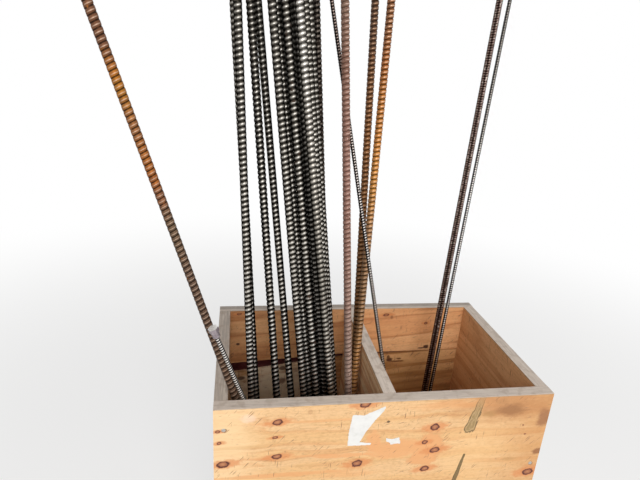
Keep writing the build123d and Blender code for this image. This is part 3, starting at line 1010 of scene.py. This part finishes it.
BOARDS = {
    "front_panel": SpruceBoard(
        "spruce_front_board", knots=FRONT_KNOTS, patches=FRONT_PATCHES, streaks=FRONT_STREAKS,
        seed=3.1,
    ),
    "left_panel": SpruceBoard(
        "spruce_left_board", Run.ALONG_Y, "#d2ae88", "#c09a74", "#a57d5b", seed=11.0, soft=0.05,
        rim_pale="#b9aa9c", rim_dark="#a3968a",
    ),
    "right_panel": SpruceBoard(
        "spruce_right_board", Run.ALONG_Y, "#e2b586", "#dcae7f", "#cc9a6c", seed=17.0, soft=0.05
    ),
    # The divider's wood is paler than the other boards: painted light against the shade the bars cast
    # on it.
    "divider": SpruceBoard(
        "spruce_divider", Run.ALONG_Y, "#ffdfb8", "#f8d0a2", "#e4b184", seed=23.0, soft=0.05,
        rim_pale="#dccdbf", rim_dark="#c6b7a8", rim_stain=0.35,
    ),
    "back_board_upper": SpruceBoard(
        "spruce_upper_back_board", pale="#e8b482", mid="#dfa572", band="#c08253",
        knots=(Knot(218, 551, 5, 4), Knot(-300, 590, 6, 3), Knot(99, 579, 9, 4)),
        patches=patches(
            (214, 471, 11, 2.5, 0.9, "#3a1c10", 0.4), (228, 475, 10, 7, 0.95, "#3a1c10", 0.5),
            (104, 577, 16, 10, 0.5, "#8d5a3b", 0.9), (116, 571, 5, 6, 0.8, "#5b3320", 0.6),
            (-303, 500, 5, 4, 0.95, "#3b2116", 0.3), (180, 560, 150, 40, 0.35, "#d68f5c", 1.2),
        ),
        seed=31.0, slope=0.07, soft=0.06,
    ),
    "back_board_lower": SpruceBoard(
        "spruce_lower_back_board", pale="#dfae7a", mid="#d19c69", band="#ad7848", slope=0.1,
        soft=0.06,
        patches=patches(
            (124, 435, 12, 7, 1.0, "#43190f", 0.5), (146, 430, 24, 2.8, 1.0, "#4a2014", 0.4),
            (120, 445, 5, 8, 0.9, "#4a2014", 0.5), (152, 438, 9, 3.5, 0.9, "#4a2014", 0.5),
            # The large pale patch at -190, 290 is partly the board's paler tone there, partly painted
            # light that lifts the shade in the left compartment.
            (-190, 290, 175, 170, 0.9, "#f8e3c4"), (-179, 420, 13, 8, 0.85, "#5a3421", 0.6),
            (-181, 378, 15, 11, 0.8, "#6b3d24", 0.7), (-294, 393, 12, 7, 0.85, "#4f2d1c", 0.6),
            (268, 400, 4, 3, 0.9, "#4a2a1a", 0.3), (262, 386, 3, 3, 0.9, "#4a2a1a", 0.3),
            (180, 300, 170, 160, 0.5, "#a8793f", 1.2),
        ),
        seed=37.0,
    ),
    "floor_panels": SpruceBoard(
        "spruce_floor_boards", pale="#c9a071", mid="#b58a5c", band="#976c44", seed=41.0
    ),
}


@dataclass
class TimberBin:
    """The bin of screwed boards: its CAD boards keep their shape and get their wood."""

    def build(self) -> None:
        """Gives every board its own piece of wood, and the back sheet its film."""
        for node, wood in BOARDS.items():
            dress(node, wood.material())
        dress("back_sheet", FilmFacedPly().material())


@dataclass
class TornPaper:
    """A torn paper scrap stuck on the front board, its outline in mm from the left and the rim."""

    name: str
    outline: tuple[tuple[float, float], ...]
    thick: float = 0.15 * MM
    tear: float = 0.7
    step: float = 2.5

    def build(self, material: Material) -> Object:
        """Roughens the outline as a tear does, fills it and gives it its thickness.

        Each side is divided into steps, and each point moves by a seeded random amount.

        Args:
            material: The paper.

        Returns:
            The scrap.
        """
        corners = np.array(self.outline, dtype=float)
        sides = np.roll(corners, -1, axis=0) - corners
        counts = [max(2, round(math.hypot(*side) / self.step)) for side in sides]
        torn = np.concatenate(
            [
                start + side * np.linspace(0, 1, count)[:-1, None]
                for start, side, count in zip(corners, sides, counts)
            ]
        )
        torn += np.random.default_rng(5).uniform(-self.tear, self.tear, torn.shape)
        flat = np.array([front(a, b) for a, b in torn]) * MM
        mesh = bpy.data.meshes.new(self.name)
        corners = [(x, BIN_FRONT - 0.3 * MM, z) for x, z in flat]
        mesh.from_pydata(corners, [], [tuple(range(len(corners)))])
        mesh.materials.append(material)
        piece = put(self.name, mesh)
        solid = piece.modifiers.new("thickness", "SOLIDIFY")
        solid.thickness = self.thick
        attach(piece, ROOT)
        return piece


@dataclass(frozen=True)
class ScrewHeads:
    """Heads of the countersunk chipboard screws that hold the bin together.

    Each is a shallow dome with a cross recess. Its height over a grid of radius and angle is the
    dome's, less the depth of the cross where a point lies within the cross's arms.
    """

    name: str = "Screw_heads"
    radius: float = 4.0 * MM
    proud: float = 0.25 * MM
    recess: float = 0.22 * MM
    arm_long: float = 2.3 * MM
    arm_half: float = 0.55 * MM
    rings: int = 10
    around: int = 32
    front_places: tuple[tuple[float, float], ...] = (
        (19, 48), (20, 318), (20, 560), (684, 182), (686, 392), (684, 572)
    )

    def build(self, material: Material) -> Object:
        """Builds all heads as one piece on the front board.

        Args:
            material: The plating.

        Returns:
            The piece.
        """
        share = np.linspace(0, 1, self.rings + 1)[:, None]
        angle = 2 * math.pi * np.arange(self.around)[None, :] / self.around
        across = self.radius * share * np.cos(angle)
        upward_highlight = self.radius * share * np.sin(angle)
        arms = (
            np.minimum(np.abs(across), np.abs(upward_highlight)) < self.arm_half
        ) & (share * self.radius < self.arm_long)
        lift = self.proud * (1 - share**4) + 0 * angle - np.where(arms, self.recess, 0)
        grid = np.stack([across, -lift, upward_highlight], -1).reshape(-1, 3)
        number = np.arange(len(grid)).reshape(self.rings + 1, self.around)
        number[0] = 0
        a, b = number[:-1], np.roll(number[:-1], -1, axis=1)
        c, d = np.roll(number[1:], -1, axis=1), number[1:]
        outer = np.stack([a, d, c], -1).reshape(-1, 3)
        inner = np.stack([a, c, b], -1).reshape(-1, 3)[self.around :]
        faces = np.concatenate([outer, inner])
        kept, faces = np.unique(faces, return_inverse=True)
        one, faces = grid[kept], faces.reshape(-1, 3)
        spots = np.array([front(*place) for place in self.front_places]) * MM
        centres = np.stack([spots[:, 0], np.full(len(spots), BIN_FRONT), spots[:, 1]], -1)
        points = (centres[:, None, :] + one[None]).reshape(-1, 3)
        triangles = faces[None] + (np.arange(len(spots)) * len(one))[:, None, None]
        return make_piece(
            self.name, points, triangles.reshape(-1, 3), material, crease_degrees=35.0
        )


LABEL_OUTLINE = (
    (270, 28), (265, 66), (265, 103), (312, 104), (313, 100), (289, 96), (296, 80), (306, 61),
    (316, 45), (329, 27), (336, 16), (335, 11), (314, 21), (294, 30),
)
SCRAP_OUTLINE = ((344, 89), (346, 99), (352, 100), (355, 106), (376, 105), (372, 89), (359, 93))


# --- room ---


@dataclass(frozen=True)
class Viewpoint:
    """The photograph's camera: place in metres, angles in degrees, focal length in pixels."""

    place: tuple[float, float, float] = (-0.3095, -1.0015, 1.2219)
    yaw: float = 10.074
    pitch: float = 19.452
    roll: float = 3.747
    focal_pixels: float = 501.85
    frame_pixels: float = 640.0

    def build(self) -> None:
        """Makes the camera from its three angles: turned right, tipped down, rolled."""
        yaw, pitch, roll = (math.radians(v) for v in (self.yaw, self.pitch, self.roll))
        ahead = Vector(
            (math.sin(yaw) * math.cos(pitch), math.cos(yaw) * math.cos(pitch), -math.sin(pitch))
        )
        level = Vector((math.cos(yaw), -math.sin(yaw), 0.0))
        upright = level.cross(ahead)
        right = math.cos(roll) * level + math.sin(roll) * upright
        above = -math.sin(roll) * level + math.cos(roll) * upright
        data = bpy.data.cameras.new("camera")
        data.sensor_width = 36.0
        data.lens = self.focal_pixels * data.sensor_width / self.frame_pixels
        data.clip_start = 0.01
        data.clip_end = 100.0
        camera = put("camera", data)
        turned = Matrix((right, above, -ahead)).transposed().to_4x4()
        camera.matrix_world = Matrix.Translation(Vector(self.place)) @ turned
        bpy.context.scene.camera = camera


@dataclass(frozen=True)
class PaleFloor(Finish):
    """Pale matt floor paint that fades to white far from the object."""

    name: str = "pale_floor"

    def _surface(self, tree: NodeTree, place: NodeSocket) -> Node:
        """Builds matt paint, with white light over it that only the camera sees."""
        far = add(tree, "VectorMath LENGTH", place)
        seen = add(tree, "LightPath").outputs["Is Camera Ray"]
        fade = add(tree, "MapRange SMOOTHSTEP", far, 0.9, 3.2)
        paler = add(tree, "MapRange", fade, to_min=0.6, to_max=1.0)
        white = add(tree, "Math MULTIPLY", paler, seen)
        matt = add(tree, "BsdfDiffuse", "#f1f0ee")
        glow = add(tree, "Emission", (1, 1, 1, 1), 1.0)
        return add(tree, "MixShader", white, matt, glow)


@dataclass(frozen=True)
class Studio:
    """Plain pale floor, white surroundings and soft lamps."""

    floor_half: float = 12.0
    world_strength: float = 0.42

    def build(self) -> None:
        """Builds the floor, the world and the lamps."""
        self._floor()
        self._world()
        self._lamp("key_lamp", (-0.1, -3.2, 2.2), (0.0, 0.0, 0.8), (1.9, 1.5), watts=82.0)
        self._lamp("fill_lamp", (1.6, -2.0, 2.6), (0.0, 0.0, 0.6), (1.4, 1.4), watts=12.0)

    def _floor(self) -> None:
        """Lays a large square floor, which isn't part of the object."""
        half = self.floor_half
        mesh = bpy.data.meshes.new("floor")
        mesh.from_pydata(
            [(-half, -half, 0), (half, -half, 0), (half, half, 0), (-half, half, 0)], [],
            [(0, 1, 2, 3)],
        )
        mesh.materials.append(PaleFloor().material())
        floor = put("floor", mesh)

    def _world(self) -> None:
        """White where the camera or a reflection sees it, softer as light."""
        world = bpy.data.worlds.new("studio")
        world.use_nodes = True
        tree = world.node_tree
        tree.nodes.clear()
        path = add(tree, "LightPath")
        seen = add(
            tree, "Math MAXIMUM", path.outputs["Is Camera Ray"], path.outputs["Is Glossy Ray"]
        )
        seen = add(tree, "Math MAXIMUM", seen, path.outputs["Is Transmission Ray"])
        strength = add(tree, "MapRange", seen, to_min=self.world_strength, to_max=1.0)
        sky = add(tree, "Background", (1, 1, 1, 1), strength)
        add(tree, "OutputWorld", sky)
        bpy.context.scene.world = world

    def _lamp(self, name: str, place: tuple, aim: tuple, size: tuple, watts: float) -> None:
        """A soft lamp of some width and height at a place, aimed at a point."""
        data = bpy.data.lights.new(name, "AREA")
        data.shape = "RECTANGLE"
        data.size, data.size_y = size
        data.energy = watts
        lamp = put(name, data)
        lamp.location = place
        lamp.visible_camera = False
        lamp.rotation_euler = (Vector(aim) - Vector(place)).to_track_quat("-Z", "Y").to_euler()


def main() -> None:
    """Builds and dresses the whole object in order and reports each piece."""
    logging.basicConfig(level=logging.INFO, format="%(message)s")
    bpy.context.scene.view_settings.view_transform = "Standard"
    Viewpoint().build()
    Studio().build()
    TimberBin().build()
    finishes: dict[str, Material] = {}
    for group in BAR_GROUPS:
        if group.finish.name not in finishes:
            finishes[group.finish.name] = group.finish.material()
        piece = group.build(finishes[group.finish.name])
        LOG.info("built %s with %d triangles", piece.name, len(piece.data.polygons))
    dress("hex_sleeve_nut", ZincPlate().material())
    heads = ScrewHeads().build(SCREW_PLATE.material())
    LOG.info("built %s with %d triangles", heads.name, len(heads.data.polygons))
    paper = OfficePaper().material()
    for scrap in (TornPaper("Paper_label", LABEL_OUTLINE), TornPaper("Paper_scrap", SCRAP_OUTLINE)):
        scrap.build(paper)
        LOG.info("built %s", scrap.name)


if __name__ == "__main__":
    main()
